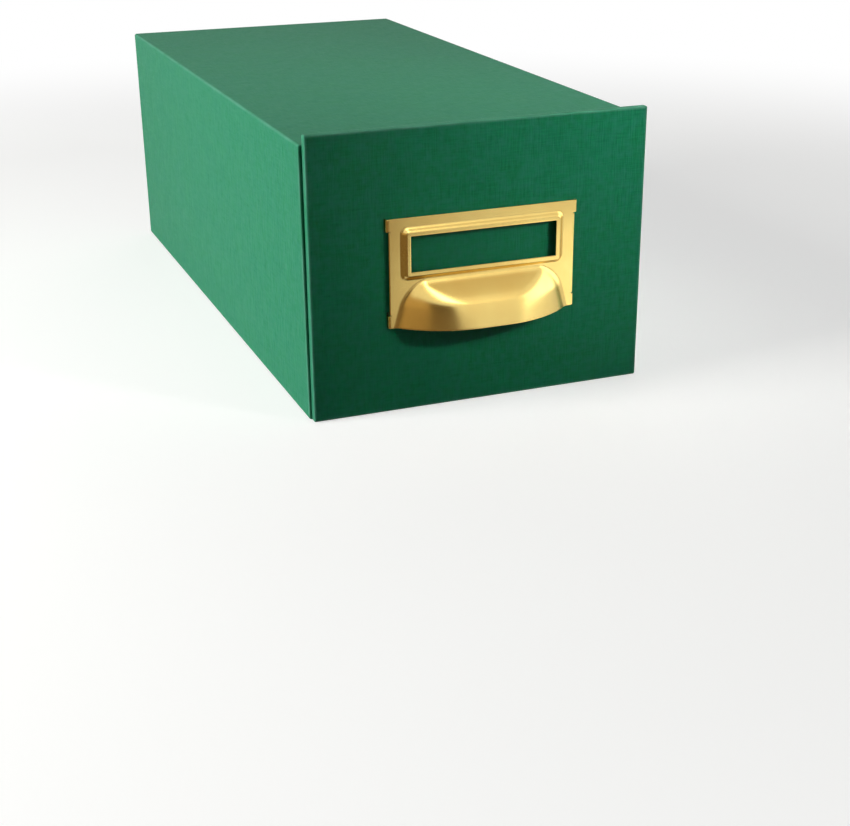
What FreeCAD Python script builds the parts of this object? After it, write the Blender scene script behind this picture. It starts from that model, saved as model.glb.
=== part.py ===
import FreeCAD, Part
import math
import os

from FreeCAD import Vector

# Index card drawer: a covered-board casing, open at the front, with a card tray that slides out of it.
# Millimetres, +Z up. The origin is the centre of the casing's underside and the drawer opens along -Y.

# Sheet materials
casingBoard = 2.0          # greyboard of the casing
trayBoard = 1.8            # greyboard of the tray
panelBoard = 2.1           # greyboard of the front panel
coverPaper = 0.2           # embossed covering paper
liningPaper = 0.15         # smooth lining paper

# Casing, over its paper
casingWidth = 113.5
casingHeight = 86.5
casingDepth = 240.0
turnOver = 12.0            # covering paper turned onto the base and the back
mouthTurnIn = 15.0         # covering paper turned into the mouth
coverMargin = 2.5          # sheets pasted over turned paper stop this far short of the edges

# Tray
sidePlay = 0.7             # between the tray and the casing, each side
underPlay = 0.3            # under the tray
overPlay = 3.0             # over the tray's rim
backPlay = 2.0             # behind the tray
rimTurnIn = 16.0           # covering paper turned over the rim and down inside
trayTurnUnder = 11.0       # covering paper turned under the tray

# Front panel
panelSetIn = 0.75          # the panel stops this far short of the casing's sides
panelOverTop = 3.5         # and rises this far above its top
panelFoot = 0.3            # and hangs this far clear of the table
panelLean = 0.8            # degrees: its top stands a little away from the casing
mouthGap = 0.25            # between the panel's foot and the casing's mouth
panelTurnIn = 14.0         # covering paper turned in on the panel's rear

# Label frame and cup pull, one stamping
sheet = 0.5                # its metal
plateWidth = 62.0
plateHeight = 34.6
plateFoot = 27.9           # plate's lower edge above the panel's foot
labelSlot = 0.7            # room behind the plate for a label card
windowWidth = 48.6
windowHeight = 11.4
windowRise = 23.3          # window's centre above the plate's lower edge
rimFlat = 1.3              # flat band round the window
rimSlope = 1.2             # sloping band above and below that
rimSideSlope = 1.5         # sloping band at its ends
rimHeight = 1.2            # the flat band stands this far proud of the plate
cupHalf = 28.6             # half the cup's width where it leaves the plate
cupRise = 14.2             # top of the cup above the plate's lower edge
cupDrop = 0.1              # its lip hangs this far below that edge
cupDepth = 9.9             # reach of the lip in front of the plate
cupFlare = 0.2             # reach that the front band loses per millimetre of height
cupPitch = 1.3             # reach that the sloping top loses per millimetre of height
cupBend = 0.9              # softness of the bend between the two
cupTaper = 0.28            # half width that the ends lose per millimetre of height
cupShoulder = 6.5          # radius of the cup's upper corners on the plate
cupEndAngle = 44.5         # degrees between the plate and the cup's end walls
cupEndRound = 2.7          # radius where they turn into the front band, per millimetre of reach
cupEdge = 0.12             # reach at which its top has run out into the plate
cupSlices = 16             # sections through the cup, foot to top

# Prongs, bent back from the plate's side edges
prongHeight = 3.8
prongInset = 0.1           # from the plate's top and bottom edges
upperStandOut = 0.9        # the upper pair is flared this far outside the plate
lowerStandOut = 0.5        # the lower pair goes straight back
prongClench = 5.0          # length bent over inside the tray
slitPlay = 0.1             # round each prong in paper and board
slitOver = 1.2             # each lower slit runs on this far above its prong

# Casing, from the outside in
mouthY = -casingDepth / 2
backY = casingDepth / 2
sideX = casingWidth / 2
shellSideX = sideX - coverPaper                    # faces of the boards
shellFloorZ = 2 * coverPaper                       # turned paper and the base sheet lie under them
shellTopZ = casingHeight - coverPaper
shellFrontY = mouthY + coverPaper
shellBackY = backY - 2 * coverPaper
roomSideX = shellSideX - casingBoard               # the space that the boards enclose
roomFloorZ = shellFloorZ + casingBoard
roomTopZ = shellTopZ - casingBoard
roomBackY = shellBackY - casingBoard

# Panel: its rear plane leans, and all depths in the front are measured from that plane
lean = math.radians(panelLean)
panelRearY = mouthY - mouthGap
panelX = sideX - panelSetIn
panelTopZ = casingHeight + panelOverTop
panelDepth = panelBoard + 3 * coverPaper           # face, board, turned paper, backing sheet

# Tray, from the outside in
traySideX = roomSideX - coverPaper - sidePlay
trayFloorZ = roomFloorZ + coverPaper + underPlay
trayRimZ = roomTopZ - coverPaper - overPlay
trayBackY = roomBackY - backPlay
coreSideX = traySideX - coverPaper                 # faces of the tray's boards
coreFloorZ = trayFloorZ + 2 * coverPaper
coreRimZ = trayRimZ - coverPaper
coreFront = coverPaper
coreBackY = trayBackY - coverPaper
cardSideX = coreSideX - trayBoard                  # the space for the cards
cardFloorZ = coreFloorZ + trayBoard
cardFront = coreFront + trayBoard
cardBackY = coreBackY - trayBoard

# Pull: heights count from the plate's lower edge, reach counts outwards from the plate's face
plateX = plateWidth / 2
plateZ = panelFoot + plateFoot
plateRearY = panelRearY - panelDepth - labelSlot
plateFaceY = plateRearY - sheet
panelFaceY = panelRearY - panelDepth
endAngle = math.radians(cupEndAngle)
clenchY = panelRearY + cardFront + liningPaper     # inner face of the front, where the prongs fold over
prongs = [                                         # foot and stand-out of the lower and the upper one
    (plateZ + prongInset, lowerStandOut),
    (plateZ + plateHeight - prongInset - prongHeight, upperStandOut),
]


def box(x0, x1, y0, y1, z0, z1):
    return Part.makeBox(x1 - x0, y1 - y0, z1 - z0, Vector(x0, y0, z0))


def frontY(z, depth):
    """Y of the plane that lies this deep behind the panel's leaning rear plane."""
    return panelRearY + depth / math.cos(lean) - (z - panelFoot) * math.tan(lean)


def sideProfile(x0, x1, corners):
    """Extrudes an outline of (y, z) corners from x0 to x1."""
    points = [Vector(x0, y, z) for y, z in corners]
    return Part.Face(Part.makePolygon(points + points[:1])).extrude(Vector(x1 - x0, 0, 0))


def block(x0, x1, z0, z1, depth, backY):
    """Block whose front leans with the panel and whose back is square."""
    return sideProfile(x0, x1, [(frontY(z0, depth), z0), (backY, z0), (backY, z1), (frontY(z1, depth), z1)])


def plank(x0, x1, z0, z1, depth, thickness):
    """Board that leans with the panel on both faces."""
    rear = depth + thickness
    rising = [(frontY(z0, depth), z0), (frontY(z0, rear), z0)]
    return sideProfile(x0, x1, rising + [(frontY(z1, rear), z1), (frontY(z1, depth), z1)])


def leaned(shape):
    """Tips a shape that was drawn upright about the foot of the panel's rear plane."""
    return shape.rotate(Vector(0, panelRearY, panelFoot), Vector(1, 0, 0), panelLean)


def mirrored(shape):
    return shape.mirror(Vector(0, 0, 0), Vector(1, 0, 0))


# Casing

def casingBoards():
    left = box(-shellSideX, -roomSideX, shellFrontY, shellBackY, roomFloorZ, roomTopZ)
    return {
        "casing_base_board": box(-shellSideX, shellSideX, shellFrontY, shellBackY, shellFloorZ, roomFloorZ),
        "casing_top_board": box(-shellSideX, shellSideX, shellFrontY, shellBackY, roomTopZ, shellTopZ),
        "casing_left_board": left,
        "casing_right_board": mirrored(left),
        "casing_back_board": box(-roomSideX, roomSideX, roomBackY, shellBackY, roomFloorZ, roomTopZ),
    }


def casingPapers():
    sheetBackY = backY - coverPaper
    turnInY = mouthY + mouthTurnIn
    insideX = roomSideX - coverPaper
    insideFloorZ = roomFloorZ + coverPaper
    insideTopZ = roomTopZ - coverPaper
    # One sheet round the boards and into the mouth
    wrap = box(-sideX, sideX, mouthY, sheetBackY, coverPaper, casingHeight)
    wrap = wrap.cut(box(-shellSideX, shellSideX, shellFrontY, shellBackY, shellFloorZ, shellTopZ))
    wrap = wrap.fuse(box(-roomSideX, roomSideX, mouthY, turnInY, roomFloorZ, roomTopZ))
    wrap = wrap.cut(box(-insideX, insideX, mouthY, turnInY, insideFloorZ, insideTopZ))
    # Board left bare between its turned edges on the base and the back
    bareX = sideX - turnOver
    bareBase = box(-bareX, bareX, mouthY + turnOver, backY - turnOver, coverPaper, shellFloorZ)
    bareBack = box(-bareX, bareX, shellBackY, sheetBackY, turnOver, casingHeight - turnOver)
    # Sheets pasted over the turned edges and down onto that board
    coverX = sideX - coverMargin
    coverTopZ = casingHeight - coverMargin
    baseSheet = box(-coverX, coverX, mouthY + coverMargin, sheetBackY - coverMargin, 0, coverPaper)
    backSheet = box(-coverX, coverX, sheetBackY, backY, coverPaper + coverMargin, coverTopZ)
    return {
        "casing_wrap": wrap.cut(bareBase).cut(bareBack),
        "casing_base_cover": baseSheet.fuse(bareBase),
        "casing_back_cover": backSheet.fuse(bareBack),
    }


# Tray

def trayBoards():
    left = block(-coreSideX, -cardSideX, cardFloorZ, coreRimZ, coreFront, coreBackY)
    return {
        "tray_base_board": block(-coreSideX, coreSideX, coreFloorZ, cardFloorZ, coreFront, coreBackY),
        "tray_left_board": left,
        "tray_right_board": mirrored(left),
        "tray_back_board": box(-cardSideX, cardSideX, cardBackY, coreBackY, cardFloorZ, coreRimZ),
        "tray_front_board": plank(-cardSideX, cardSideX, cardFloorZ, coreRimZ, coreFront, trayBoard),
    }


def inTray(inset, z0, z1):
    """Block that fills the tray this far inside its outer faces, all but its floor and rim."""
    return block(-traySideX + inset, traySideX - inset, z0, z1, inset, trayBackY - inset)


def trayPapers():
    sheetFootZ = trayFloorZ + coverPaper
    turnInZ = trayRimZ - rimTurnIn
    toCards = coverPaper + trayBoard
    # One sheet round the walls, over the rim and down inside
    wrap = inTray(0, sheetFootZ, trayRimZ).cut(inTray(coverPaper, coreFloorZ, coreRimZ))
    wrap = wrap.fuse(inTray(toCards, turnInZ, trayRimZ))
    wrap = wrap.cut(inTray(toCards + coverPaper, turnInZ, trayRimZ))
    bareBase = inTray(trayTurnUnder, sheetFootZ, coreFloorZ)
    baseSheet = inTray(coverMargin, trayFloorZ, sheetFootZ)
    # Linings: a sheet on the floor, and a band on the walls up to the turned-in edge
    liningTopZ = cardFloorZ + liningPaper
    band = inTray(toCards, liningTopZ, turnInZ).cut(inTray(toCards + liningPaper, liningTopZ, turnInZ))
    return {
        "tray_wrap": wrap.cut(bareBase),
        "tray_base_cover": baseSheet.fuse(bareBase),
        "tray_wall_lining": band,
        "tray_floor_lining": inTray(toCards, cardFloorZ, liningTopZ),
    }


# Front panel, drawn upright and then leaned

def panelLayer(margin, front, rear):
    """Rectangle this far inside the panel's outline, between two distances ahead of its rear plane."""
    x = panelX - margin
    return box(-x, x, panelRearY - front, panelRearY - rear, panelFoot + margin, panelTopZ - margin)


def panelPieces():
    turned = 2 * coverPaper
    board = panelLayer(coverPaper, turned + panelBoard, turned)
    bareRear = panelLayer(panelTurnIn, turned, coverPaper)
    backing = panelLayer(coverMargin, coverPaper, 0).fuse(bareRear)
    wrap = panelLayer(0, panelDepth, coverPaper).cut(board).cut(bareRear)
    return {
        "front_panel_board": leaned(board),
        "front_panel_wrap": leaned(wrap),
        "front_panel_backing": leaned(backing),
    }


# Label frame and cup pull, drawn upright and then leaned

def rectangle(halfX, z0, z1, y):
    corners = [Vector(-halfX, y, z0), Vector(halfX, y, z0), Vector(halfX, y, z1), Vector(-halfX, y, z1)]
    return Part.makePolygon(corners + corners[:1])


def windowRim(footY):
    """Raised rim round the window, filled in, standing on a plane at footY."""
    middle = plateZ + windowRise
    halfX = windowWidth / 2
    halfZ = windowHeight / 2
    crestX = halfX + rimFlat
    crestZ = halfZ + rimFlat
    footX = crestX + rimSideSlope
    footZ = crestZ + rimSlope
    foot = rectangle(footX, middle - footZ, middle + footZ, footY)
    crest = rectangle(crestX, middle - crestZ, middle + crestZ, footY - rimHeight)
    return Part.makeLoft([foot, crest], True, True)


def cupBandReach(height, thick):
    return cupDepth - cupFlare * (height + cupDrop) - thick * math.hypot(1, cupFlare)


def cupReach(height, thick):
    """Reach at a height, where the front band and the sloping top blend in a soft bend."""
    band = cupBandReach(height, thick)
    slope = cupPitch * (cupRise - height) - thick * math.hypot(1, cupPitch)
    return (band + slope - math.hypot(band - slope, 2 * cupBend)) / 2


def cupTop(thick):
    """Height at which the reach comes down to cupEdge."""
    slope = cupEdge + cupBend ** 2 / (cupBandReach(cupRise, thick) - cupEdge)
    return cupRise - (slope + thick * math.hypot(1, cupPitch)) / cupPitch


def cupHalfWidth(height, thick):
    ends = cupHalf - cupTaper * height - thick / math.sin(endAngle)
    intoShoulder = min(cupShoulder, max(0.0, height - cupTop(thick) + cupShoulder))
    return ends - cupShoulder + math.sqrt(cupShoulder ** 2 - intoShoulder ** 2)


def cupSection(height, thick, rearY):
    """Closed outline at one height: front band, rounded turns, end walls and a flat rear."""
    reach = cupReach(height, thick)
    halfX = cupHalfWidth(height, thick)
    radius = cupEndRound * reach
    setback = radius * math.tan(endAngle / 2)
    cornerX = halfX - reach / math.tan(endAngle)
    bandX = cornerX - setback
    bandY = plateFaceY - reach
    z = plateZ + height
    outline = [
        (halfX, rearY),
        (halfX, plateFaceY),
        (cornerX + setback * math.cos(endAngle), bandY + setback * math.sin(endAngle)),
        (bandX + radius * math.sin(endAngle / 2), bandY + radius * (1 - math.cos(endAngle / 2))),
        (bandX, bandY),
    ]
    right = [Vector(x, y, z) for x, y in outline]
    left = [Vector(-x, y, z) for x, y in outline]
    edges = [
        Part.LineSegment(right[0], right[1]),
        Part.LineSegment(right[1], right[2]),
        Part.Arc(right[2], right[3], right[4]),
        Part.LineSegment(right[4], left[4]),
        Part.Arc(left[4], left[3], left[2]),
        Part.LineSegment(left[2], left[1]),
        Part.LineSegment(left[1], left[0]),
        Part.LineSegment(left[0], right[0]),
    ]
    return Part.Wire([edge.toShape() for edge in edges])


def cupBody(thick, footHeight, rearY):
    """The cup filled in, lofted from its foot to its top with closer sections towards the top."""
    rise = cupTop(thick) - footHeight
    turns = [math.pi / 2 * i / cupSlices for i in range(cupSlices + 1)]
    sections = [cupSection(footHeight + rise * math.sin(turn), thick, rearY) for turn in turns]
    return Part.makeLoft(sections, True, False)


def prong(footZ, standOut):
    """Strip that flares out from the plate's right side, runs back through the front and folds over."""
    outX = plateX + standOut
    inX = outX - sheet
    foldY = clenchY + sheet
    corners = [
        (plateX, plateFaceY),
        (outX, panelFaceY),
        (outX, foldY),
        (outX - prongClench, foldY),
        (outX - prongClench, clenchY),
        (inX, clenchY),
        (inX, panelFaceY),
        (plateX, plateRearY),
    ]
    points = [Vector(x, y, footZ) for x, y in corners]
    return Part.Face(Part.makePolygon(points + points[:1])).extrude(Vector(0, 0, prongHeight))


def prongSlit(footZ, standOut):
    """Room for that prong in the paper and board behind the plate."""
    outX = plateX + standOut
    isLower = footZ < plateZ + plateHeight / 2
    above = slitOver if isLower else slitPlay
    z1 = footZ + prongHeight + above
    return box(outX - sheet - slitPlay, outX + slitPlay, panelFaceY, clenchY, footZ - slitPlay, z1)


def onFourCorners(make):
    right = [make(*place) for place in prongs]
    return right + [mirrored(shape) for shape in right]


def labelPull():
    plate = box(-plateX, plateX, plateFaceY, plateRearY, plateZ, plateZ + plateHeight)
    pull = plate.fuse([windowRim(plateFaceY), cupBody(0, -cupDrop, plateRearY)] + onFourCorners(prong))
    windowZ = plateZ + windowRise - windowHeight / 2
    crestY = plateFaceY - rimHeight
    window = box(-windowWidth / 2, windowWidth / 2, crestY, plateRearY, windowZ, windowZ + windowHeight)
    inside = cupBody(sheet, -cupDrop - sheet, plateRearY + sheet)
    return leaned(pull.cut([windowRim(plateRearY), window, inside]))


pieces = {**casingBoards(), **casingPapers(), **trayBoards(), **trayPapers(), **panelPieces()}
pierced = [
    "front_panel_wrap",
    "front_panel_board",
    "front_panel_backing",
    "tray_wrap",
    "tray_front_board",
    "tray_wall_lining",
]
slits = [leaned(slit) for slit in onFourCorners(prongSlit)]
for node in pierced:
    pieces[node] = pieces[node].cut(slits)
pieces["label_pull"] = labelPull()

os.makedirs("parts", exist_ok=True)
for node, shape in pieces.items():
    shape = shape.removeSplitter()
    if not shape.isValid() or len(shape.Solids) != 1:
        raise ValueError(f"{node} is not one sound solid")
    shape.exportStep(f"parts/{node}.step")
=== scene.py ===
import math

import bmesh
import bpy
from mathutils import Matrix, Vector, noise


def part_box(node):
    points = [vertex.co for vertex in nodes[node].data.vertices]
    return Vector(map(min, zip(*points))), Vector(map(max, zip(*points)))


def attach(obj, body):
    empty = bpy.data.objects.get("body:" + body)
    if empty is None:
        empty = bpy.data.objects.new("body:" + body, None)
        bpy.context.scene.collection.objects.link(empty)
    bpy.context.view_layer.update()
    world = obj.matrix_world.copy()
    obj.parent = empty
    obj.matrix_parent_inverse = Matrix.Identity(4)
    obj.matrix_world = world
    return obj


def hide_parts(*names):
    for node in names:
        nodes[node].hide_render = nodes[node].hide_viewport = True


# Index card drawer: linen-embossed paper over greyboard, and a pressed brass label frame with a cup pull.
# Sizes in the dictionaries are millimetres and degrees, apart from the studio's, which are metres.
mm = 0.001
mergeDistance = 0.0005 * mm      # points closer than this are one
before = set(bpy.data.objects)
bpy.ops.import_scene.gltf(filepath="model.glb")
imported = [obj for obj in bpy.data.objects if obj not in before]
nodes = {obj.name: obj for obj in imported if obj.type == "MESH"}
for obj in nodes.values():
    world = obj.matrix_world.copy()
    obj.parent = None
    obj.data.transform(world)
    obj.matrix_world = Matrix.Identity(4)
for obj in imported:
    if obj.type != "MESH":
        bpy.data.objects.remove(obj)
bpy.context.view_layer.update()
scene = bpy.context.scene
print("frame loaded:", len(nodes), "nodes")


def linear(hexColour):
    # An sRGB hex colour as linear red, green, blue and alpha
    channels = [int(hexColour[i:i + 2], 16) / 255 for i in (1, 3, 5)]
    return [c / 12.92 if c <= 0.04045 else ((c + 0.055) / 1.055) ** 2.4 for c in channels] + [1.0]


def perMetre(size):
    # A pattern's scale, from its real size in millimetres
    return 1 / (size * mm)


def smoothStep(share):
    return share * share * (3 - 2 * share)


def addNode(tree, kind, inputs=None, **settings):
    # In a Mix node of colours, inputs 6 and 7 are the two colours and output 2 is the result
    node = tree.nodes.new("ShaderNode" + kind)
    for key, value in settings.items():
        setattr(node, key, value)
    for key, value in (inputs or {}).items():
        if isinstance(value, bpy.types.NodeSocket):
            tree.links.new(value, node.inputs[key])
        else:
            node.inputs[key].default_value = value
    return node


def newMaterial(name):
    material = bpy.data.materials.new(name)
    material.use_nodes = True
    material.node_tree.nodes.clear()
    return material, material.node_tree


def dress(mesh, material):
    mesh.materials.clear()
    mesh.materials.append(material)


def addPiece(name, mesh, material, body, replacedNode):
    piece = bpy.data.objects.new(name, mesh)
    scene.collection.objects.link(piece)
    dress(mesh, material)
    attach(piece, body)
    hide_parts(replacedNode)
    return piece


imageWidth = 850
imageHeight = 826
view = {
    "focalPixels": 1548.2,       # focal length in the image's pixels
    "centre": (454.6, 430.2),    # where the optical axis meets the image, from its upper left corner
    "sensor": 36.0,
    "pan": 21.88,
    "tilt": 22.62,
    "roll": -0.33,
    "place": (-181.4, -551.8, 182.8),
    "nearest": 10.0,
}


def makeCamera():
    data = bpy.data.cameras.new("camera")
    camera = bpy.data.objects.new("camera", data)
    scene.collection.objects.link(camera)
    data.sensor_width = view["sensor"]
    data.lens = data.sensor_width * view["focalPixels"] / imageWidth
    data.shift_x = (imageWidth / 2 - view["centre"][0]) / imageWidth
    data.shift_y = (view["centre"][1] - imageHeight / 2) / imageWidth
    data.clip_start = view["nearest"] * mm
    turn = Matrix.Rotation(math.radians(-view["pan"]), 4, "Z")
    tip = Matrix.Rotation(math.radians(90 - view["tilt"]), 4, "X")
    lean = Matrix.Rotation(math.radians(view["roll"]), 4, "Z")
    camera.matrix_world = Matrix.Translation(Vector(view["place"]) * mm) @ turn @ tip @ lean
    scene.camera = camera


makeCamera()
print("camera placed")


# Bookbinder's linen-embossed paper, roller-pressed and varnished: fine crossed threads under a satin skin
linenPaper = {
    "colour": "#056e45",
    "threadColour": "#128056",
    "threadWidth": 0.4,             # real threads are about 0.25 mm: drawn coarser, so that they show
    "threadLength": 6.0,            # a thread stands out for about this far
    "threadShare": (0.8, 0.5, 1.0),     # how plainly the threads along X, Y and Z show
    "threadDetail": 1.5,
    "threadRange": (-0.3, 0.3),     # thread heights that count as a full gap and a full crown
    "blotchColour": "#076c4d",
    "blotchSize": 14.0,
    "blotchDetail": 4.0,
    "blotchRange": (0.35, 0.65),
    "mottleColour": "#1f7a5c",      # small clouds where the varnish lies thicker
    "mottleSize": 2.2,
    "mottleDetail": 3.0,
    "mottleRange": (0.4, 0.7),
    "mottleShare": 0.75,
    # Pale edges: partly rubbing wear, partly a painted highlight where the edges catch light
    "wearAndHighlightColour": "#6aa58d",
    "wearAndHighlightRange": (0.1, 0.9),        # the pale edges, rubbing wear and painted highlight, follow the blotches between these
    "emboss": 0.055,
    "swell": 0.2,                   # slow waves where the paste has dried
    "swellSize": 40.0,
    "swellDetail": 1.0,
    "roughness": (0.57, 0.45),      # in the gaps between threads, and on their crowns
    "ior": 1.2,
    "sheen": 0.02,                  # loose fibres on the threads, pale where seen aslant
    "sheenRoughness": 0.4,
    "sheenColour": "#ffffff",
}


def makeLinenPaper():
    material, tree = newMaterial("embossedLinenPaper")
    place = addNode(tree, "TexCoord").outputs["Object"]
    facing = addNode(tree, "SeparateXYZ", {0: addNode(tree, "NewGeometry").outputs["Normal"]}).outputs
    threads = 0.0
    for axis in range(3):
        stretch = [perMetre(linenPaper["threadWidth"])] * 3
        stretch[axis] = perMetre(linenPaper["threadLength"])
        mapped = addNode(tree, "Mapping", {"Vector": place, "Scale": stretch}).outputs[0]
        strand = addNode(
            tree, "TexNoise", {"Vector": mapped, "Scale": 1.0, "Detail": linenPaper["threadDetail"]}
        ).outputs[0]
        across = addNode(tree, "Math", {0: facing[axis]}, operation="ABSOLUTE").outputs[0]
        share = addNode(
            tree, "MapRange", {"Value": across, "To Min": linenPaper["threadShare"][axis], "To Max": 0.0}
        ).outputs[0]
        centred = addNode(tree, "Math", {0: strand, 1: 0.5}, operation="SUBTRACT").outputs[0]
        threads = addNode(
            tree, "Math", {0: centred, 1: share, 2: threads}, operation="MULTIPLY_ADD"
        ).outputs[0]
    gap, crown = linenPaper["threadRange"]
    weave = addNode(tree, "MapRange", {"Value": threads, "From Min": gap, "From Max": crown}).outputs[0]
    clouds = {}
    for part in ("blotch", "mottle", "swell"):
        clouds[part] = addNode(tree, "TexNoise", {
            "Vector": place,
            "Scale": perMetre(linenPaper[part + "Size"]),
            "Detail": linenPaper[part + "Detail"],
        }).outputs[0]
    thin, thick = linenPaper["blotchRange"]
    blotch = addNode(
        tree, "MapRange", {"Value": clouds["blotch"], "From Min": thin, "From Max": thick}
    ).outputs[0]
    thin, thick = linenPaper["mottleRange"]
    mottle = addNode(tree, "MapRange", {
        "Value": clouds["mottle"], "From Min": thin, "From Max": thick, "To Max": linenPaper["mottleShare"],
    }).outputs[0]
    thin, thick = linenPaper["wearAndHighlightRange"]
    patches = addNode(
        tree, "MapRange", {"Value": clouds["blotch"], "From Min": thin, "From Max": thick}
    ).outputs[0]
    # Pale edges, partly rubbing wear and partly a painted highlight
    edges = addNode(tree, "Attribute", attribute_name="wearAndHighlight").outputs["Fac"]
    wornAndHighlit = addNode(tree, "Math", {0: edges, 1: patches}, operation="MULTIPLY").outputs[0]
    colour = linear(linenPaper["colour"])
    for part, amount in (("blotch", blotch), ("thread", weave), ("mottle", mottle), ("wearAndHighlight", wornAndHighlit)):
        over = linear(linenPaper[part + "Colour"])
        colour = addNode(tree, "Mix", {0: amount, 6: colour, 7: over}, data_type="RGBA").outputs[2]
    roughGap, roughCrown = linenPaper["roughness"]
    rough = addNode(tree, "MapRange", {"Value": weave, "To Min": roughGap, "To Max": roughCrown}).outputs[0]
    waves = addNode(tree, "Bump", {
        "Height": clouds["swell"], "Distance": linenPaper["swell"] * mm, "Strength": 1.0,
    }).outputs[0]
    normal = addNode(tree, "Bump", {
        "Height": weave, "Distance": linenPaper["emboss"] * mm, "Strength": 1.0, "Normal": waves,
    }).outputs[0]
    shader = addNode(tree, "BsdfPrincipled", {
        "Base Color": colour,
        "Roughness": rough,
        "Normal": normal,
        "IOR": linenPaper["ior"],
        "Sheen Weight": linenPaper["sheen"],
        "Sheen Roughness": linenPaper["sheenRoughness"],
        "Sheen Tint": linear(linenPaper["sheenColour"]),
    })
    addNode(tree, "OutputMaterial", {"Surface": shader.outputs[0]})
    return material


# Greyboard, pressed from waste paper: matt, with short fibres and specks
greyboard = {
    "colour": "#8c877c",
    "speckColour": "#6a665e",
    "speckSize": 0.6,
    "speckDetail": 4.0,
    "speckRange": (0.45, 0.7),
    "fibre": 0.04,
    "roughness": 0.9,
}


def makeGreyboard():
    material, tree = newMaterial("pressedGreyboard")
    place = addNode(tree, "TexCoord").outputs["Object"]
    specks = addNode(tree, "TexNoise", {
        "Vector": place, "Scale": perMetre(greyboard["speckSize"]), "Detail": greyboard["speckDetail"],
    }).outputs[0]
    bare, full = greyboard["speckRange"]
    spread = addNode(tree, "MapRange", {"Value": specks, "From Min": bare, "From Max": full}).outputs[0]
    colour = addNode(
        tree, "Mix", {0: spread, 6: linear(greyboard["colour"]), 7: linear(greyboard["speckColour"])},
        data_type="RGBA",
    ).outputs[2]
    bump = addNode(
        tree, "Bump", {"Height": specks, "Distance": greyboard["fibre"] * mm, "Strength": 1.0}
    ).outputs[0]
    shader = addNode(
        tree, "BsdfPrincipled", {"Base Color": colour, "Roughness": greyboard["roughness"], "Normal": bump}
    )
    addNode(tree, "OutputMaterial", {"Surface": shader.outputs[0]})
    return material


# Uncoated lining paper: matt and faintly clouded, where the fibres lie thicker
lining = {
    "colour": "#e8e0ca",
    "cloudColour": "#dcd2b8",
    "cloudSize": 6.0,
    "cloudDetail": 4.0,
    "tooth": 0.02,
    "toothSize": 0.5,
    "toothDetail": 2.0,
    "roughness": 0.85,
}


def makeLiningPaper():
    material, tree = newMaterial("uncoatedLiningPaper")
    place = addNode(tree, "TexCoord").outputs["Object"]
    cloud, tooth = [
        addNode(tree, "TexNoise", {
            "Vector": place, "Scale": perMetre(lining[part + "Size"]), "Detail": lining[part + "Detail"],
        }).outputs[0]
        for part in ("cloud", "tooth")
    ]
    colour = addNode(
        tree, "Mix", {0: cloud, 6: linear(lining["colour"]), 7: linear(lining["cloudColour"])},
        data_type="RGBA",
    ).outputs[2]
    bump = addNode(
        tree, "Bump", {"Height": tooth, "Distance": lining["tooth"] * mm, "Strength": 1.0}
    ).outputs[0]
    shader = addNode(
        tree, "BsdfPrincipled", {"Base Color": colour, "Roughness": lining["roughness"], "Normal": bump}
    )
    addNode(tree, "OutputMaterial", {"Surface": shader.outputs[0]})
    return material


# Brass sheet, pressed, satin-rubbed and lacquered: a soft blurred shine with fine rubbing marks
brass = {
    "colour": "#f1d886",
    "deepColour": "#e2bd6a",
    "cloudSize": 11.0,
    "cloudDetail": 3.0,
    "roughness": (0.2, 0.265),     # where the lacquer lies thick, and where it is rubbed thin
    "rubWidth": 0.3,               # real rubbing marks are near 0.05 mm: drawn coarser
    "rubLength": 9.0,
    "rubDepth": 0.0009,
    "rubDetail": 2.0,
}


def makeBrass():
    material, tree = newMaterial("satinPressedBrass")
    place = addNode(tree, "TexCoord").outputs["Object"]
    across = perMetre(brass["rubWidth"])
    along = perMetre(brass["rubLength"])      # rubbed from side to side
    mapped = addNode(tree, "Mapping", {"Vector": place, "Scale": [along, across, across]}).outputs[0]
    rubbed = addNode(
        tree, "TexNoise", {"Vector": mapped, "Scale": 1.0, "Detail": brass["rubDetail"]}
    ).outputs[0]
    cloud = addNode(tree, "TexNoise", {
        "Vector": place, "Scale": perMetre(brass["cloudSize"]), "Detail": brass["cloudDetail"],
    }).outputs[0]
    colour = addNode(
        tree, "Mix", {0: cloud, 6: linear(brass["colour"]), 7: linear(brass["deepColour"])},
        data_type="RGBA",
    ).outputs[2]
    smooth, dull = brass["roughness"]
    rough = addNode(tree, "MapRange", {"Value": cloud, "To Min": smooth, "To Max": dull}).outputs[0]
    bump = addNode(
        tree, "Bump", {"Height": rubbed, "Distance": brass["rubDepth"] * mm, "Strength": 1.0}
    ).outputs[0]
    shader = addNode(
        tree, "BsdfPrincipled",
        {"Base Color": colour, "Metallic": 1.0, "Roughness": rough, "Normal": bump},
    )
    addNode(tree, "OutputMaterial", {"Surface": shader.outputs[0]})
    return material


coverMaterial = makeLinenPaper()
boardMaterial = makeGreyboard()
liningMaterial = makeLiningPaper()
brassMaterial = makeBrass()
print("materials made")


# How paper and board are folded, glued and rubbed
folds = {
    "paper": 0.2,           # thickness of a sheet
    "steps": 4,             # facets in a rounded edge
    "support": 0.5,         # a flat face starts this far past a rounded edge
    "span": 9.0,            # longest facet on a flat face
    "sharpAngle": 34,       # edges sharper than this stay crisp in the shading
    "wearAndHighlightReach": 0.9,       # paper is rubbed paler this near its edges, and a highlight is painted there too
    "hollow": 0.1,          # flat faces sink this far between their edges
    "hollowReach": 14.0,    # and take this far from an edge to do so
    "faceDepth": 0.25,      # what lies this near the outside belongs to a flat face
    "waveSize": 45.0,
    "waveShare": 0.3,       # how much of the sinking comes and goes over a face
}


def filledRun(start, end, span):
    count = max(1, math.ceil(abs(end - start) / span))
    return [start + (end - start) * i / count for i in range(1, count)]


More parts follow.
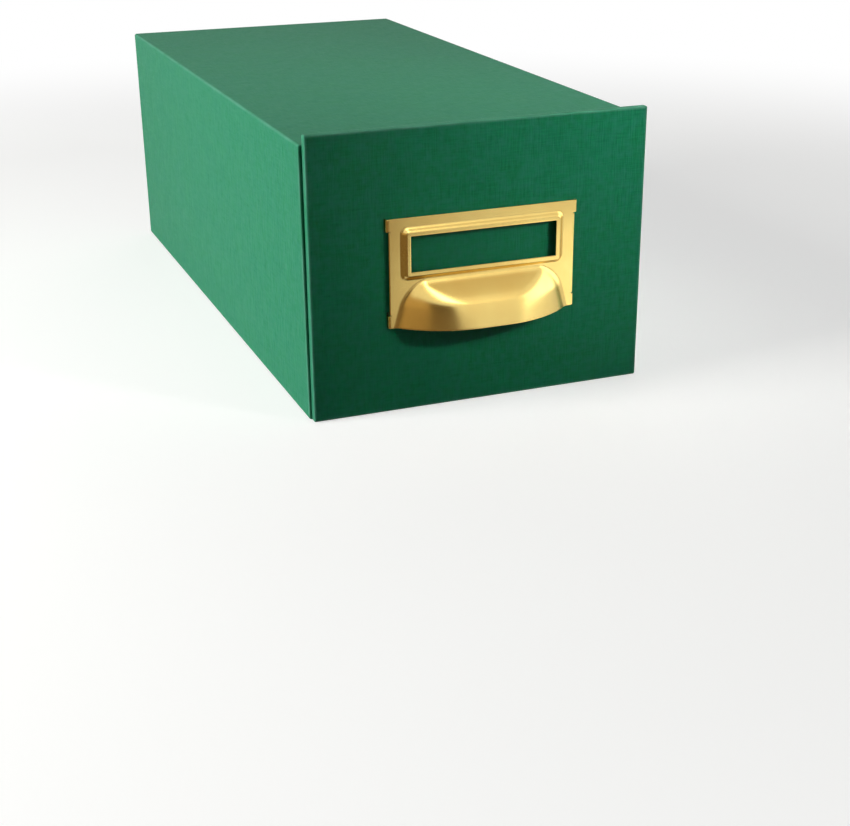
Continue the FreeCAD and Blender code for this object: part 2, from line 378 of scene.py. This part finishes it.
def straightRun(a, b, spans=None):
    # Points between a and b, with one close to each end so that shading stays flat
    length = (b - a).length
    support = folds["support"]
    if length <= 2 * support:
        return []
    count = spans or max(1, math.ceil((length - 2 * support) / folds["span"]))
    places = [support + (length - 2 * support) * i / count for i in range(count + 1)]
    return [a.lerp(b, place / length) for place in places]


def roundedPath(corners, radii, closed=False, spans=None):
    # A polyline with its corners turned into arcs; radii hold one radius for each corner
    corners = [Vector(corner) for corner in corners]
    count = len(corners)
    bends = []
    for i, corner in enumerate(corners):
        isEnd = not closed and i in (0, count - 1)
        if isEnd or radii[i] <= 0:
            bends.append([corner])
            continue
        before = (corners[i - 1] - corner).normalized()
        after = (corners[(i + 1) % count] - corner).normalized()
        half = before.angle(after) / 2
        centre = corner + (before + after).normalized() * (radii[i] / math.sin(half))
        first = corner + before * (radii[i] / math.tan(half)) - centre
        last = corner + after * (radii[i] / math.tan(half)) - centre
        sweep = first.angle(last)
        arc = []
        for k in range(folds["steps"] + 1):
            share = k / folds["steps"]
            mixed = first * math.sin((1 - share) * sweep) + last * math.sin(share * sweep)
            arc.append(centre + mixed / math.sin(sweep))
        bends.append(arc)
    points = []
    for i, bend in enumerate(bends):
        points += bend
        if closed or i < count - 1:
            points += straightRun(bend[-1], bends[(i + 1) % count][0], spans[i] if spans else None)
    return points


def offsetPath(points, distance):
    # The same open path moved sideways, to its left, by the sheet's thickness
    moved = []
    for i, point in enumerate(points):
        ahead = points[min(i + 1, len(points) - 1)] - point
        behind = point - points[max(i - 1, 0)]
        if ahead.length == 0:
            ahead = behind
        if behind.length == 0:
            behind = ahead
        direction = (ahead.normalized() + behind.normalized()).normalized()
        moved.append(point + Vector((-direction.y, direction.x)) * distance)
    return moved


def sheetProfile(corners, radii, thickness):
    outer = roundedPath(corners, radii)
    return outer + offsetPath(outer, thickness)[::-1]


def roundedRectangle(low, high, inset, radius):
    # The same number of points whatever the inset, so that rings can be joined
    spans = [max(1, math.ceil((high[i] - low[i]) / folds["span"])) for i in (0, 1)] * 2
    left, right = low[0] + inset, high[0] - inset
    bottom, top = low[1] + inset, high[1] - inset
    corners = [(left, bottom), (right, bottom), (right, top), (left, top)]
    return roundedPath(corners, [radius] * 4, closed=True, spans=spans)


def ringsAlongY(low, high, profile, corner, leastCorner):
    # One ring round the box for each point of the paper's profile
    rings = []
    for inset, y in profile:
        radius = max(corner - inset, leastCorner)
        outline = roundedRectangle((low.x, low.z), (high.x, high.z), inset, radius)
        rings.append([Vector((x, y, z)) for x, z in outline])
    return rings


def finished(mesh, sharpAngle=folds["sharpAngle"]):
    # Closed seams, faces turned outward, and smooth shading apart from crisp edges
    shape = bmesh.new()
    shape.from_mesh(mesh)
    bmesh.ops.remove_doubles(shape, verts=shape.verts, dist=mergeDistance)
    bmesh.ops.recalc_face_normals(shape, faces=shape.faces)
    shape.to_mesh(mesh)
    shape.free()
    for polygon in mesh.polygons:
        polygon.use_smooth = True
    mesh.set_sharp_from_angle(angle=math.radians(sharpAngle))
    return mesh


def ringMesh(name, rings, capped=False):
    # Rings of equal length, each joined to the next; the last joins the first, or both ends are closed flat
    count = len(rings[0])
    verts = [point * mm for ring in rings for point in ring]
    faces = []
    for i in range(len(rings) - 1 if capped else len(rings)):
        here = i * count
        there = (i + 1) % len(rings) * count
        for j in range(count):
            k = (j + 1) % count
            faces.append((here + j, here + k, there + k, there + j))
    if capped:
        faces.append(tuple(range(count)))
        faces.append(tuple(range(len(verts) - count, len(verts))))
    mesh = bpy.data.meshes.new(name)
    mesh.from_pydata(verts, [], faces)
    return finished(mesh)


def meshFrom(shape, name):
    mesh = bpy.data.meshes.new(name)
    shape.to_mesh(mesh)
    shape.free()
    return mesh


def addBox(shape, low, high):
    size = [abs(side) * mm for side in high - low]
    place = Matrix.Translation((low + high) / 2 * mm) @ Matrix.Diagonal((*size, 1))
    bmesh.ops.create_cube(shape, size=1.0, matrix=place)


def markWearAndHighlight(mesh, low, high):
    # Pale where a point lies near two outer faces at once, which is along an edge: partly rubbing wear,
    # partly a painted highlight where edges catch light
    wearAndHighlight = mesh.attributes.new("wearAndHighlight", "FLOAT", "POINT")
    for vertex in mesh.vertices:
        gaps = sorted(min(vertex.co[i] - low[i] * mm, high[i] * mm - vertex.co[i]) for i in range(3))
        wearAndHighlight.data[vertex.index].value = max(0.0, 1 - gaps[1] / (folds["wearAndHighlightReach"] * mm))


def settle(mesh, low, high):
    # Glued board is never quite flat: its faces sink a little between their edges
    for vertex in mesh.vertices:
        place = vertex.co / mm
        for i in range(3):
            outward = 1 if place[i] > (low[i] + high[i]) / 2 else -1
            gap = high[i] - place[i] if outward > 0 else place[i] - low[i]
            if gap > folds["faceDepth"]:
                continue
            room = min(min(place[k] - low[k], high[k] - place[k]) for k in range(3) if k != i)
            ease = smoothStep(min(1.0, max(0.0, room / folds["hollowReach"])))
            wave = 1 - folds["waveShare"] + folds["waveShare"] * noise.noise(place / folds["waveSize"])
            vertex.co[i] -= outward * folds["hollow"] * mm * ease * wave


def toMillimetres(node):
    low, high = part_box(node)
    return Vector(low) / mm, Vector(high) / mm


boards = {
    "casingEdge": 0.6,      # how far pressing has rounded their edges
    "trayEdge": 0.45,
    "edgeSteps": 3,
    "crispAngle": 40,       # edges sharper than this were cut
    "flatAngle": 0.2,
}


def softenEdges(shape, edges, width):
    bmesh.ops.bevel(
        shape, geom=edges, offset=width * mm, offset_type="OFFSET", segments=boards["edgeSteps"], profile=0.5,
        affect="EDGES", clamp_overlap=True,
    )


def softenedBoard(node, edge, body):
    # The board's own shape with its cut edges rounded
    shape = bmesh.new()
    shape.from_mesh(nodes[node].data)
    bmesh.ops.remove_doubles(shape, verts=shape.verts, dist=mergeDistance)
    flat = math.radians(boards["flatAngle"])
    bmesh.ops.dissolve_limit(shape, angle_limit=flat, verts=shape.verts, edges=shape.edges)
    crisp = math.radians(boards["crispAngle"])
    cut = [one for one in shape.edges if len(one.link_faces) == 2 and one.calc_face_angle() > crisp]
    softenEdges(shape, cut, edge)
    mesh = finished(meshFrom(shape, node + "Mesh"))
    addPiece(node + "_softened", mesh, boardMaterial, body, node)


for side in ("base", "top", "left", "right", "back"):
    softenedBoard(f"casing_{side}_board", boards["casingEdge"], "casing")
for side in ("base", "left", "right", "back"):
    softenedBoard(f"tray_{side}_board", boards["trayEdge"], "drawer")
dress(nodes["tray_front_board"].data, boardMaterial)
print("boards made")


casing = {
    "board": 2.0,          # thickness
    "edge": 0.85,          # radius of the long edges
    "mouthEdge": 0.4,
    "insideEdge": 0.25,
    "turnOver": 12.0,      # paper turned onto the back
    "turnIn": 15.0,        # paper turned into the mouth
}


def makeCasingWrap():
    low, high = toMillimetres("casing_wrap")
    wall = casing["board"] + 2 * folds["paper"]
    corners = [
        (casing["turnOver"], high.y),
        (0, high.y),
        (0, low.y),
        (wall, low.y),
        (wall, low.y + casing["turnIn"]),
    ]
    radii = [0, casing["edge"], casing["mouthEdge"], casing["mouthEdge"], 0]
    profile = sheetProfile(corners, radii, folds["paper"])
    rings = ringsAlongY(low, high, profile, casing["edge"], casing["insideEdge"])
    mesh = ringMesh("casingWrapMesh", rings)
    settle(mesh, low, high)
    markWearAndHighlight(mesh, low, high)
    addPiece("casingWrapPaper", mesh, coverMaterial, "casing", "casing_wrap")


makeCasingWrap()
print("casing wrap made")


panel = {
    "lean": 0.8,           # its top stands a little away from the casing
    "gap": 0.25,           # between its foot and the casing's mouth
    "foot": 0.3,
    "setIn": 0.75,         # it stops this far short of the casing's sides
    "overTop": 3.5,        # and rises this far above its top
    "depth": 2.7,
    "corner": 0.5,
    "insideCorner": 0.3,
    "edge": 0.5,
    "rearEdge": 0.35,
    "boardEdge": 0.4,
    "turnIn": 14.0,        # paper turned onto its back
}
casingLow, casingHigh = toMillimetres("casing_wrap")
rearY = casingLow.y - panel["gap"]
panelTop = casingHigh.z + panel["overTop"]
panelX = casingHigh.x - panel["setIn"]
pivot = Vector((0, rearY, panel["foot"]))
leaning = (
    Matrix.Translation(pivot * mm)
    @ Matrix.Rotation(math.radians(panel["lean"]), 4, "X")
    @ Matrix.Translation(-pivot * mm)
)

# Label frame and cup pull, one stamping
pull = {
    "sheet": 0.5,
    "plate": (62.0, 34.6),
    "plateFoot": 27.9,       # above the panel's foot
    "labelSlot": 0.7,        # room behind the plate for a label card
    "window": (48.6, 11.4),
    "windowRise": 23.3,      # window's centre above the plate's lower edge
    "rimFlat": 1.3,
    "rimSlope": 1.2,
    "rimSideSlope": 1.5,
    "rimHeight": 1.2,
    "rimCorner": 0.9,
    "rimSoftness": 0.7,      # share of its slope that is curved
    "cupHalf": 28.6,         # half its width where it leaves the plate
    "cupRise": 14.2,         # its top above the plate's lower edge
    "cupDrop": 0.1,          # its lip hangs this far below that edge
    "cupLip": 1.0,           # the lip starts where the cup stands out this far
    "cupDepth": 9.9,         # reach of the lip in front of the plate
    "cupFlare": 0.2,         # reach that the front band loses per millimetre of height
    "cupPitch": 1.3,         # reach that the sloping top loses per millimetre of height
    "cupBend": 0.9,          # softness of the bend between the two
    "cupTaper": 0.28,        # half width that the ends lose per millimetre of height
    "cupShoulder": 8.0,      # radius of its upper corners on the plate
    "cupShoulderTurn": 0.95,     # share of a full quarter turn
    "cupEndAngle": 44.5,     # between the plate and the cup's end walls
    "cupEndRound": 3.6,      # radius where they turn into the band, per millimetre of reach
    "footFillet": 1.2,       # softness of the relief's foot on the plate
    "reliefBlend": 0.3,      # softness where the cup runs into the rim
    "grid": 0.42,            # spacing of the mesh
    "sharpAngle": 50,
    "prongHeight": 3.8,
    "prongInset": 0.1,
    "upperStandOut": 0.9,    # how far outside the plate they go back
    "lowerStandOut": 0.5,
    "prongClench": 5.0,      # length bent over inside the tray
    "prongBends": (0.6, 0.75),     # radii of its two bends, outside
    "prongStep": 0.05,       # its points lie at least this far apart
    "cutEdge": 0.12,         # cut edges are rubbed this round
    "cutEdgeSteps": 2,
    "cutAngle": 60,
    "slitPlay": 0.1,         # room round a prong in its slit
    "slitOver": 1.2,         # the lower slits run on this far above their prongs
    "slitPast": 1.0,         # the cutter reaches this far behind the panel
    "trayFront": 2.15,       # tray board, its paper and the lining behind the panel
}
plateZ = panel["foot"] + pull["plateFoot"]
plateFaceY = rearY - panel["depth"] - pull["labelSlot"] - pull["sheet"]
plateX = pull["plate"][0] / 2
windowX, windowZ = [side / 2 for side in pull["window"]]
lowerFoot = pull["prongInset"]
upperFoot = pull["plate"][1] - pull["prongInset"] - pull["prongHeight"]
# Heights are from the plate's lower edge, and each slit runs on above its prong by slitAbove
prongs = [
    {"foot": lowerFoot, "standOut": pull["lowerStandOut"], "slitAbove": pull["slitOver"]},
    {"foot": upperFoot, "standOut": pull["upperStandOut"], "slitAbove": pull["slitPlay"]},
]


def applyModifiers(piece):
    graph = bpy.context.evaluated_depsgraph_get()
    graph.update()
    applied = bpy.data.meshes.new_from_object(piece.evaluated_get(graph))
    old = piece.data
    piece.modifiers.clear()
    piece.data = applied
    bpy.data.meshes.remove(old)


def cutSlits(piece):
    # The four slits that the prongs pass through
    cutter = bmesh.new()
    for prong in prongs:
        outer = plateX + prong["standOut"] + pull["slitPlay"]
        inner = plateX + prong["standOut"] - pull["sheet"] - pull["slitPlay"]
        footZ = plateZ + prong["foot"]
        topZ = footZ + pull["prongHeight"] + prong["slitAbove"]
        for side in (-1, 1):
            low = Vector((side * outer, plateFaceY, footZ - pull["slitPlay"]))
            high = Vector((side * inner, rearY + pull["slitPast"], topZ))
            addBox(cutter, low, high)
    knife = bpy.data.objects.new("slits", meshFrom(cutter, "slits"))
    scene.collection.objects.link(knife)
    modifier = piece.modifiers.new("slits", "BOOLEAN")
    modifier.operation = "DIFFERENCE"
    modifier.solver = "EXACT"
    modifier.object = knife
    applyModifiers(piece)
    bpy.data.objects.remove(knife)


def makePanelWrap():
    low = Vector((-panelX, rearY - panel["depth"], panel["foot"]))
    high = Vector((panelX, rearY - folds["paper"], panelTop))
    start = panel["edge"] + folds["support"]
    corners = [(start, low.y), (0, low.y), (0, high.y), (panel["turnIn"], high.y)]
    radii = [0, panel["edge"], panel["rearEdge"], 0]
    profile = sheetProfile(corners, radii, -folds["paper"])
    rings = ringsAlongY(low, high, profile, panel["corner"], panel["insideCorner"])
    mesh = ringMesh("panelWrapMesh", rings, capped=True)
    piece = addPiece("panelWrapPaper", mesh, coverMaterial, "drawer", "front_panel_wrap")
    cutSlits(piece)
    markWearAndHighlight(piece.data, low, high)
    piece.data.transform(leaning)


def makePanelBoard():
    paper = folds["paper"]
    low = Vector((paper - panelX, rearY - panel["depth"] + paper, panel["foot"] + paper))
    high = Vector((panelX - paper, rearY - 2 * paper, panelTop - paper))
    shape = bmesh.new()
    addBox(shape, low, high)
    softenEdges(shape, shape.edges[:], panel["boardEdge"])
    mesh = finished(meshFrom(shape, "panelBoardMesh"))
    piece = addPiece("panelGreyboard", mesh, boardMaterial, "drawer", "front_panel_board")
    cutSlits(piece)
    piece.data.transform(leaning)


makePanelWrap()
makePanelBoard()
print("front panel made")


tray = {
    "board": 1.8,          # thickness
    "edge": 0.7,
    "rimEdge": 0.8,
    "insideEdge": 0.25,
    "turnIn": 16.0,        # paper turned down inside the walls
    "turnUnder": 11.0,     # paper turned under the base
}


def makeTrayWrap():
    low, high = toMillimetres("tray_wrap")
    wall = tray["board"] + 2 * folds["paper"]
    slope = math.tan(math.radians(panel["lean"]))
    upright = math.cos(math.radians(panel["lean"]))
    corners = [
        (tray["turnUnder"], low.z),
        (0, low.z),
        (0, high.z),
        (wall, high.z),
        (wall, high.z - tray["turnIn"]),
    ]
    radii = [0, tray["edge"], tray["rimEdge"], tray["rimEdge"], 0]
    rings = []
    for inset, z in sheetProfile(corners, radii, -folds["paper"]):
        frontY = rearY + inset * (1 / upright - 1) - (z - panel["foot"]) * slope
        radius = max(tray["edge"] - inset, tray["insideEdge"])
        outline = roundedRectangle((low.x, frontY), (high.x, high.y), inset, radius)
        rings.append([Vector((x, y, z)) for x, y in outline])
    mesh = ringMesh("trayWrapMesh", rings)
    markWearAndHighlight(mesh, low, high)
    addPiece("trayWrapPaper", mesh, coverMaterial, "drawer", "tray_wrap")


makeTrayWrap()
# Pasted sheets and linings keep the frame's own shape
for node in ("casing_base_cover", "casing_back_cover", "tray_base_cover", "front_panel_backing"):
    dress(nodes[node].data, coverMaterial)
for node in ("tray_wall_lining", "tray_floor_lining"):
    dress(nodes[node].data, liningMaterial)
print("tray wrap made, sheets and linings dressed")


def softRamp(value, reach):
    # Zero below zero and the value above it, with a soft turn between
    if abs(value) >= reach:
        return max(0.0, value)
    return (value + reach) ** 2 / (4 * reach)


def rimRelief(x, height):
    corner = pull["rimCorner"]
    outX = max(0.0, abs(x) - (windowX + pull["rimFlat"] - corner))
    outZ = max(0.0, abs(height - pull["windowRise"]) - (windowZ + pull["rimFlat"] - corner))
    out = math.hypot(outX, outZ)
    if out <= corner:
        return pull["rimHeight"]
    sideways = (outX / out) ** 2
    slope = pull["rimSideSlope"] * sideways + pull["rimSlope"] * (1 - sideways)
    share = min(1.0, (out - corner) / slope)
    curved = pull["rimSoftness"]
    return pull["rimHeight"] * (1 - curved * smoothStep(share) - (1 - curved) * share)


def cupRelief(x, height):
    band = pull["cupDepth"] - pull["cupFlare"] * (height + pull["cupDrop"])
    slope = pull["cupPitch"] * (pull["cupRise"] - height)
    reach = (band + slope - math.hypot(band - slope, 2 * pull["cupBend"])) / 2
    angle = math.radians(pull["cupEndAngle"])
    shoulder = pull["cupShoulder"]
    turned = pull["cupShoulderTurn"] * shoulder
    into = min(turned, max(0.0, height - pull["cupRise"] + turned))
    halfX = pull["cupHalf"] - pull["cupTaper"] * height - shoulder + math.sqrt(shoulder ** 2 - into ** 2)
    wall = (halfX - abs(x)) * math.tan(angle)
    if reach <= 0:
        return min(reach, wall)
    radius = pull["cupEndRound"] * reach
    bandX = halfX - reach / math.tan(angle) - radius * math.tan(angle / 2)
    past = abs(x) - bandX
    if past <= 0:
        return reach
    if past < radius * math.sin(angle):
        return reach - radius + math.sqrt(radius ** 2 - past ** 2)
    return wall


def relief(x, height):
    rim = rimRelief(x, height)
    cup = softRamp(cupRelief(x, height), pull["footFillet"])
    blend = pull["reliefBlend"]
    meeting = max(0.0, blend - abs(rim - cup)) ** 2 / (4 * blend)
    return max(rim, cup) + meeting * min(1.0, min(rim, cup) / blend)


def gridLines(marks):
    marks = sorted(set(round(mark, 4) for mark in marks))
    lines = []
    for a, b in zip(marks, marks[1:]):
        lines += [a] + filledRun(a, b, pull["grid"])
    return lines + [marks[-1]]


def plateGrid():
    # Columns and rows with a line on each edge of the plate, the window, the rim and the prongs
    rimX = windowX + pull["rimFlat"]
    rimZ = windowZ + pull["rimFlat"]
    edgesX = [0, windowX, rimX, rimX + pull["rimSideSlope"], plateX]
    marksX = [side * edge for edge in edgesX for side in (-1, 1)]
    marksZ = [0, pull["plate"][1]]
    for reach in (windowZ, rimZ, rimZ + pull["rimSlope"]):
        marksZ += [pull["windowRise"] - reach, pull["windowRise"] + reach]
    for prong in prongs:
        marksZ += [prong["foot"], prong["foot"] + pull["prongHeight"]]
    return gridLines(marksX), gridLines(marksZ)


def pressPlate(shape, columns, rows):
    # The plate with rim and cup pushed out and the window left open; returns its points
    grid = {}
    for i, x in enumerate(columns):
        for k, z in enumerate(rows):
            out = relief(x, z)
            drop = pull["cupDrop"] if k == 0 and out > pull["cupLip"] else 0
            grid[i, k] = shape.verts.new(Vector((x, plateFaceY - out, plateZ + z - drop)) * mm)
    middles = [(a + b) / 2 for a, b in zip(rows, rows[1:])]
    beside = [any(0 < z - prong["foot"] < pull["prongHeight"] for prong in prongs) for z in middles]
    for i in range(len(columns) - 1):
        x = (columns[i] + columns[i + 1]) / 2
        for k, z in enumerate(middles):
            inWindow = abs(x) < windowX and abs(z - pull["windowRise"]) < windowZ
            # A prong leaves the plate's last column, with a small relief notch above and below it
            atProng = i in (0, len(columns) - 2) and any(beside[max(k - 1, 0):k + 2])
            if not (inWindow or atProng):
                shape.faces.new((grid[i, k], grid[i + 1, k], grid[i + 1, k + 1], grid[i, k + 1]))
    return grid


def bendProngs(shape, grid, columns, rows):
    # Each runs from the plate round its edge, back through the front, and is clenched inward
    foldY = rearY + pull["trayFront"] + pull["sheet"]
    for prong in prongs:
        low = prong["foot"] - mergeDistance / mm
        high = prong["foot"] + pull["prongHeight"] + mergeDistance / mm
        inRows = [k for k, z in enumerate(rows) if low <= z <= high]
        outX = plateX + prong["standOut"]
        corners = [
            (columns[-2], plateFaceY),
            (outX, plateFaceY),
            (outX, foldY),
            (outX - pull["prongClench"], foldY),
        ]
        path = roundedPath(corners, [0, *pull["prongBends"], 0])
        steps = [b for a, b in zip(path, path[1:]) if (b - a).length > pull["prongStep"]]
        for side, column in ((1, len(columns) - 2), (-1, 1)):
            before = [grid[column, k] for k in inRows]
            for point in steps:
                places = [Vector((side * point.x, point.y, plateZ + rows[k])) * mm for k in inRows]
                after = [shape.verts.new(place) for place in places]
                for k in range(len(inRows) - 1):
                    shape.faces.new((before[k], after[k], after[k + 1], before[k + 1]))
                before = after


def makePull():
    shape = bmesh.new()
    columns, rows = plateGrid()
    grid = pressPlate(shape, columns, rows)
    bendProngs(shape, grid, columns, rows)
    bmesh.ops.remove_doubles(shape, verts=shape.verts, dist=mergeDistance)
    loose = [vertex for vertex in shape.verts if not vertex.link_faces]
    bmesh.ops.delete(shape, geom=loose, context="VERTS")
    bmesh.ops.recalc_face_normals(shape, faces=shape.faces)
    middle = min(shape.faces, key=lambda face: abs(face.calc_center_median().x))
    if middle.normal.y > 0:
        bmesh.ops.reverse_faces(shape, faces=shape.faces)
    mesh = meshFrom(shape, "labelPullMesh")
    piece = addPiece("brassLabelPull", mesh, brassMaterial, "drawer", "label_pull")
    thick = piece.modifiers.new("thickness", "SOLIDIFY")
    thick.thickness = pull["sheet"] * mm
    thick.offset = -1
    thick.use_even_offset = True
    soft = piece.modifiers.new("cutEdges", "BEVEL")
    soft.width = pull["cutEdge"] * mm
    soft.segments = pull["cutEdgeSteps"]
    soft.limit_method = "ANGLE"
    soft.angle_limit = math.radians(pull["cutAngle"])
    applyModifiers(piece)
    finished(piece.data, pull["sharpAngle"])
    piece.data.transform(leaning)


makePull()
print("label pull made")


studio = {
    "floorUnseen": "#454745",     # what the floor throws back onto the object
    "floorSeen": "#bebeba",
    "floorLift": 0.6,             # glow that brings the lit floor close to white
    "floorFade": (0.28, 0.62),    # between these distances it fades to the studio's white
    "floorHalf": 5.0,
    "floorDrop": 0.0001,
    "cardRise": 0.0004,
    "white": "#ffffff",
    "world": 0.02,
}
lamps = {
    "leftSoftbox": {"place": (-0.75, -0.1, 0.3), "aim": (0, -0.02, 0.04), "size": (0.3, 0.5), "watts": 8.4},
    "topSoftbox": {"place": (0.1, 0.1, 1.6), "aim": (0, 0, 0.05), "size": (1.2, 1.2), "watts": 1.5},
    "frontFill": {"place": (0.12, -0.7, 0.2), "aim": (0, -0.15, 0.04), "size": (0.3, 0.3), "watts": 0.09},
    "rightKey": {
        "place": (0.35, -0.55, 0.35), "aim": (0.08, -0.127, 0.115), "size": (0.08, 0.08), "watts": 0.078,
        "spread": 26,        # a pool of light on the front's upper right
    },
    "backFill": {"place": (0.75, 1.0, 0.7), "aim": (0, 0.05, 0.04), "size": (0.9, 0.8), "watts": 3.2},
}
# Cards that only reflections see. Those that lie on the floor have plan corners, the others stand or hang.
cards = {
    # Floor and walls as the brass and the front mirror them: warm and dark to the left, bright to the right
    "floorCard": {
        "colour": "#ffd7a0",
        "level": 0.2,
        "corners": [(-0.9, -0.1), (-0.9, -0.9), (0.304, -0.9), (-0.039, -0.13)],
    },
    "farFloorCard": {
        "colour": "#ffffff",
        "level": 0.6,
        "corners": [(0.3, -0.9), (0.9, -0.9), (0.9, -0.3), (0.045, -0.3)],
    },
    "brightFloorCard": {
        "colour": "#ffffff",
        "level": 1.6,
        "corners": [(0.04, -0.15), (0.075, -0.29), (0.15, -0.29), (0.1, -0.15)],
    },
    "footCard": {
        "colour": "#ffd7a0",
        "level": 0.1,
        "corners": [(-0.036, -0.1295), (0.0, -0.2), (0.036, -0.16), (0.046, -0.1295)],
    },
    "horizonCard": {
        "colour": "#ffffff",
        "level": 1.0,
        "corners": [(0.09, -1.1, 0.0), (0.75, -0.8, 0.0), (0.75, -0.8, 0.4), (0.09, -1.1, 0.4)],
    },
    "wallCard": {
        "colour": "#ffd7a0",
        "level": 0.12,
        "corners": [(-0.55, -0.97, 0), (-0.04, -1.2, 0), (-0.04, -1.2, 0.5), (-0.55, -0.97, 0.5)],
    },
    "leftWallCard": {
        "colour": "#ffdca8",
        "level": 0.55,
        "corners": [(-1.15, 0.1, 0), (-0.55, -0.97, 0), (-0.55, -0.97, 0.5), (-1.15, 0.1, 0.5)],
    },
    # Softer greys that keep the cup's slope and the casing's top from shining white
    "overCard": {
        "colour": "#fff3dc",
        "level": 0.7,
        "corners": [(0.0, -0.2, 0.32), (0.15, -0.2, 0.32), (0.15, -0.04, 0.32), (0.0, -0.04, 0.32)],
    },
    "backCard": {
        "colour": "#ffffff",
        "level": 0.6,
        "corners": [(1.04, 0.5, 0), (-0.15, 1.2, 0), (-0.15, 1.2, 1.0), (1.04, 0.5, 1.0)],
    },
    # Bright ones for the highlights on the cup's left corner and on its right end
    "highReflector": {
        "colour": "#fff6e6",
        "level": 5.0,
        "corners": [
            (-0.058, -0.288, 0.52), (0.072, -0.282, 0.515), (0.127, -0.476, 0.38), (-0.07, -0.49, 0.38),
        ],
    },
    "rightReflector": {
        "colour": "#ffffff",
        "level": 2.4,
        "corners": [(0.55, -0.75, 0.0), (0.85, 0.0, 0.0), (0.85, 0.0, 0.7), (0.55, -0.75, 0.7)],
    },
}


def makeLamp(name, values):
    data = bpy.data.lights.new(name, "AREA")
    data.shape = "RECTANGLE"
    data.size, data.size_y = values["size"]
    data.energy = values["watts"]
    data.spread = math.radians(values.get("spread", 180))
    lamp = bpy.data.objects.new(name, data)
    scene.collection.objects.link(lamp)
    lamp.visible_camera = False
    lamp.visible_glossy = False      # reflections show the cards and the white studio instead
    lamp.location = values["place"]
    lamp.rotation_euler = (Vector(values["aim"]) - lamp.location).to_track_quat("-Z", "Y").to_euler()


def seenDirectly(tree):
    # One where a camera, mirror or glass ray looks straight at the surface
    path = addNode(tree, "LightPath").outputs
    seen = addNode(tree, "Math", {0: path["Is Camera Ray"], 1: path["Is Glossy Ray"]}, operation="ADD")
    return addNode(
        tree, "Math", {0: seen.outputs[0], 1: path["Is Transmission Ray"]}, operation="ADD", use_clamp=True
    ).outputs[0]


def makeWorld():
    world = bpy.data.worlds.new("studio")
    scene.world = world
    world.use_nodes = True
    tree = world.node_tree
    tree.nodes.clear()
    strength = addNode(
        tree, "MapRange", {"Value": seenDirectly(tree), "To Min": studio["world"], "To Max": 1.0}
    ).outputs[0]
    background = addNode(tree, "Background", {"Color": linear(studio["white"]), "Strength": strength})
    addNode(tree, "OutputWorld", {"Surface": background.outputs[0]})


def makeFlat(name, corners, material):
    mesh = bpy.data.meshes.new(name)
    mesh.from_pydata(corners, [], [tuple(range(len(corners)))])
    dress(mesh, material)
    flat = bpy.data.objects.new(name, mesh)
    scene.collection.objects.link(flat)
    return flat


def makeFloor():
    # Near the object it keeps the shadow; further out it fades to the studio's white
    material, tree = newMaterial("paleFloor")
    seen = seenDirectly(tree)
    colour = addNode(
        tree, "Mix", {0: seen, 6: linear(studio["floorUnseen"]), 7: linear(studio["floorSeen"])},
        data_type="RGBA",
    ).outputs[2]
    matt = addNode(tree, "BsdfDiffuse", {"Color": colour}).outputs[0]
    lift = addNode(tree, "Math", {0: seen, 1: studio["floorLift"]}, operation="MULTIPLY").outputs[0]
    glow = addNode(tree, "Emission", {"Color": linear(studio["white"]), "Strength": lift}).outputs[0]
    near = addNode(tree, "AddShader", {0: matt, 1: glow}).outputs[0]
    place = addNode(tree, "TexCoord").outputs["Object"]
    distance = addNode(tree, "VectorMath", {0: place}, operation="LENGTH").outputs["Value"]
    fadeStart, fadeEnd = studio["floorFade"]
    away = addNode(
        tree, "MapRange", {"Value": distance, "From Min": fadeStart, "From Max": fadeEnd},
        interpolation_type="SMOOTHSTEP",
    ).outputs[0]
    fade = addNode(tree, "Math", {0: away, 1: seen}, operation="MULTIPLY").outputs[0]
    far = addNode(tree, "Emission", {"Color": linear(studio["white"]), "Strength": 1.0}).outputs[0]
    mixed = addNode(tree, "MixShader", {0: fade, 1: near, 2: far}).outputs[0]
    addNode(tree, "OutputMaterial", {"Surface": mixed})
    half = studio["floorHalf"]
    plan = [(-half, -half), (half, -half), (half, half), (-half, half)]
    makeFlat("floor", [(x, y, -studio["floorDrop"]) for x, y in plan], material)


def makeCard(name, values):
    material, tree = newMaterial(name)
    glow = addNode(tree, "Emission", {"Color": linear(values["colour"]), "Strength": values["level"]})
    addNode(tree, "OutputMaterial", {"Surface": glow.outputs[0]})
    rise = studio["cardRise"]      # for the cards on the floor, whose corners have no height of their own
    corners = [(*corner, rise) if len(corner) == 2 else corner for corner in values["corners"]]
    card = makeFlat(name, corners, material)
    for kind in ("camera", "diffuse", "transmission", "volume_scatter", "shadow"):
        setattr(card, "visible_" + kind, False)


makeWorld()
makeFloor()
for name, values in cards.items():
    makeCard(name, values)
for name, values in lamps.items():
    makeLamp(name, values)
scene.view_settings.view_transform = "Standard"
print("studio lit")
